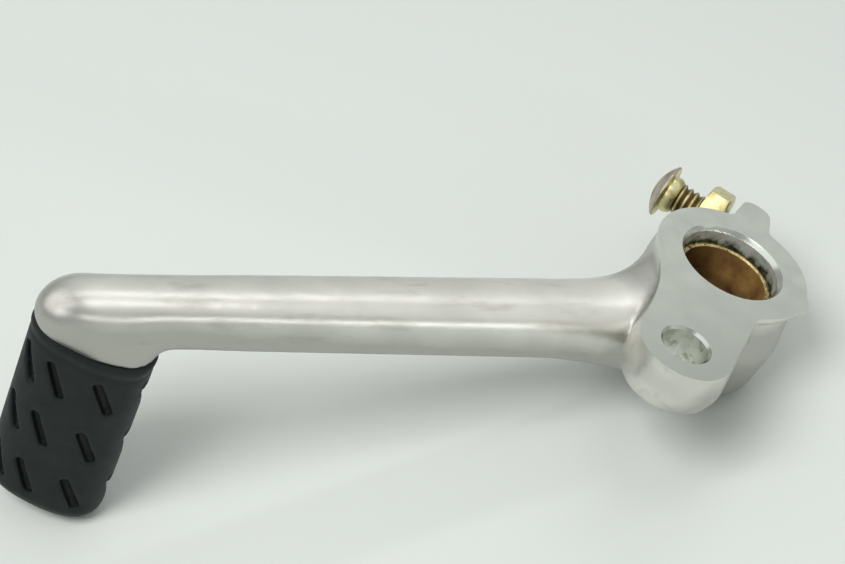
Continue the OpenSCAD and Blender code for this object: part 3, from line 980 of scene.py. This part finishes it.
class PEDAL_OT_stage(bpy.types.Operator):
    """Camera at the picture's angle, pale table and soft lamps"""

    bl_idname = "pedal.stage"
    bl_label = "Stage"

    # The camera's right, down and forward directions in the part's frame, and the place of
    # the machined face's middle before the camera
    RIGHT = Vector((-0.87797, 0.33160, 0.34526))
    DOWN = Vector((-0.02208, 0.69241, -0.72116))
    FORWARD = Vector((-0.47820, -0.64078, -0.60060))
    AHEAD = Vector((55.06476, -3.57491, 351.14142)) * MM
    SENSOR_W = 36

    # Half the side of the table in metres, and its gap under the lowest point
    FLOOR_HALF = 1.5
    FLOOR_GAP = 0.05 * MM

    # The lamps point at the arm's middle. Each has a name, direction, distance and size in
    # metres, watts, and how far its long side is turned towards Z.
    AIM = Vector((0.055, 0, -0.01))
    LAMPS = (
        # Draws the shadows
        ("key", (0.72, 0.22, 0.66), 0.8, (0.32, 0.32), 4.4, 0),
        # Two broad lamps that light the toe's end, the hub's flank and the chamfers
        ("toe_side", (0.78, -0.15, 0.6), 0.9, (1.3, 1.2), 4.2, 0),
        ("toe_front", (0.69, 0.52, 0.37), 0.9, (0.45, 0.45), 0.75, 0),
        # Lights the arm's upper band and the machined face
        ("back_wall", (-0.478, -0.76, 0.44), 1.0, (1.3, 0.8), 0.9, 0),
        # Lights the band between the two highlights
        ("ceiling", (-0.478, 0.2, 0.856), 1.0, (1.1, 1.1), 1.75, 0),
        # The two highlights along the arm
        ("strip_behind", (-0.145, -0.297, 0.589), 0.675, (0.42, 0.04), 0.36, 0),
        ("strip_front", (-0.32, 0.821, 0.313), 0.75, (0.95, 0.04), 0.92, 0.1),
    )
    # Lamps that show in the metal only, so that they don't fill the shadows
    MIRRORED_ONLY = ("ceiling", "toe_side", "toe_front")
    # The small lamp at the nut: its direction from it, distance and side in metres, watts
    GLINT_TOWARDS = Vector((0.393, 0.192, 0.888))
    GLINT_AWAY = 0.2
    GLINT_SIDE = 0.07
    GLINT_POWER = 0.031
    # Even light from all sides
    ROOM_COLOUR = "#fbfffc"
    ROOM_STRENGTH = 0.47

    def execute(self, context):
        settings = context.scene.pedal_stage
        scene = context.scene
        scene.view_settings.view_transform = "Standard"
        turn = Matrix((self.RIGHT, -self.DOWN, -self.FORWARD)).transposed()
        back = self.RIGHT * self.AHEAD.x + self.DOWN * self.AHEAD.y + self.FORWARD * self.AHEAD.z
        eye = Vector((0, 0, FACE_Z)) - back
        lens = bpy.data.cameras.new("camera")
        lens.sensor_width = self.SENSOR_W
        lens.sensor_fit = "HORIZONTAL"
        lens.lens = self.SENSOR_W * settings.focal / IMAGE_W
        lens.clip_start = 0.01
        camera = bpy.data.objects.new("camera", lens)
        scene.collection.objects.link(camera)
        camera.matrix_world = Matrix.Translation(eye) @ turn.to_4x4()
        scene.camera = camera
        self.floor(settings)
        self.room_light(scene)
        self.lamps(scene)
        return {"FINISHED"}

    def floor(self, settings):
        """A table top under the hub's far end and the rubber's tip."""
        tilt = Matrix.Rotation(settings.floor_slope, 4, "Y")
        normal = tilt @ Vector((0, 0, 1))
        points = [v.co for name in ("pedal_lever", "toe_rubber") for v in frame["nodes"][name].data.vertices]
        lowest = min(p.dot(normal) for p in points) - self.FLOOR_GAP
        bm = bmesh.new()
        bmesh.ops.create_grid(bm, x_segments=1, y_segments=1, size=self.FLOOR_HALF)
        bmesh.ops.transform(bm, matrix=Matrix.Translation(normal * lowest) @ tilt, verts=bm.verts)
        floor = new_object("floor", bm)
        floor.data.materials.append(pale_floor())

    def room_light(self, scene):
        """Fills the shadows with a faint grey-white light."""
        world = bpy.data.worlds.new("studio")
        scene.world = world
        world.use_nodes = True
        background = next(n for n in world.node_tree.nodes if n.type == "BACKGROUND")
        background.inputs["Color"].default_value = linear(self.ROOM_COLOUR)
        background.inputs["Strength"].default_value = self.ROOM_STRENGTH

    def lamps(self, scene):
        """The lamps round the arm, and a small one close to the nut, whose upper flat
        mirrors it."""
        for name, towards, away, size, power, tilt in self.LAMPS:
            back = Vector(towards).normalized()
            side = Vector((1, 0, tilt))
            side = (side - back * back.dot(side)).normalized()
            turn = Matrix((side, back.cross(side), back)).transposed().to_4x4()
            lamp = self.lamp(scene, name, size, power, Matrix.Translation(self.AIM + back * away) @ turn)
            # The key isn't mirrored, so that the toe's end shows no hot spot
            lamp.visible_glossy = name != "key"
            lamp.visible_diffuse = name not in self.MIRRORED_ONLY
        nut_low, nut_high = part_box("lock_nut")
        back = self.GLINT_TOWARDS.normalized()
        turn = back.to_track_quat("Z", "Y").to_matrix().to_4x4()
        glint_at = Matrix.Translation((nut_low + nut_high) / 2 + back * self.GLINT_AWAY)
        glint_size = (self.GLINT_SIDE, self.GLINT_SIDE)
        self.lamp(scene, "glint", glint_size, self.GLINT_POWER, glint_at @ turn)

    @staticmethod
    def lamp(scene, name, size, power, matrix):
        """A rectangular lamp in the scene, which shines down its own Z."""
        light = bpy.data.lights.new(name, "AREA")
        light.shape = "RECTANGLE"
        light.size, light.size_y = size
        light.energy = power
        lamp = bpy.data.objects.new(name, light)
        scene.collection.objects.link(lamp)
        lamp.matrix_world = matrix
        return lamp


class PEDAL_PT_panel(bpy.types.Panel):
    """The steps that build the pedal, in order"""

    bl_idname = "PEDAL_PT_panel"
    bl_label = "Brake Pedal"
    bl_space_type = "VIEW_3D"
    bl_region_type = "UI"
    bl_category = "Brake Pedal"

    def draw(self, context):
        for settings, operators in STEPS:
            box = self.layout.box()
            group = getattr(context.scene, settings)
            for key in group.bl_rna.properties.keys():
                if key not in ("rna_type", "name"):
                    box.prop(group, key)
            for operator in operators:
                box.operator(operator)


# Each group of settings with the operators that use it
STEPS = (
    ("pedal_lever", ("pedal.lever", "pedal.bush")),
    ("pedal_screw", ("pedal.screw", "pedal.nut")),
    ("pedal_rubber", ("pedal.rubber",)),
    ("pedal_stage", ("pedal.stage",)),
)
GROUPS = {
    "pedal_lever": LeverSettings,
    "pedal_screw": ScrewSettings,
    "pedal_rubber": RubberSettings,
    "pedal_stage": StageSettings,
}
CLASSES = (
    *GROUPS.values(),
    PEDAL_OT_lever,
    PEDAL_OT_bush,
    PEDAL_OT_screw,
    PEDAL_OT_nut,
    PEDAL_OT_rubber,
    PEDAL_OT_stage,
    PEDAL_PT_panel,
)


def register():
    for item in CLASSES:
        bpy.utils.register_class(item)
    for name, group in GROUPS.items():
        setattr(bpy.types.Scene, name, bpy.props.PointerProperty(type=group))


def unregister():
    for name in GROUPS:
        delattr(bpy.types.Scene, name)
    for item in reversed(CLASSES):
        bpy.utils.unregister_class(item)


def main():
    register()
    bpy.ops.pedal.lever()
    bpy.ops.pedal.bush()
    bpy.ops.pedal.screw()
    bpy.ops.pedal.nut()
    bpy.ops.pedal.rubber()
    bpy.ops.pedal.stage()


if __name__ == "__main__":
    main()
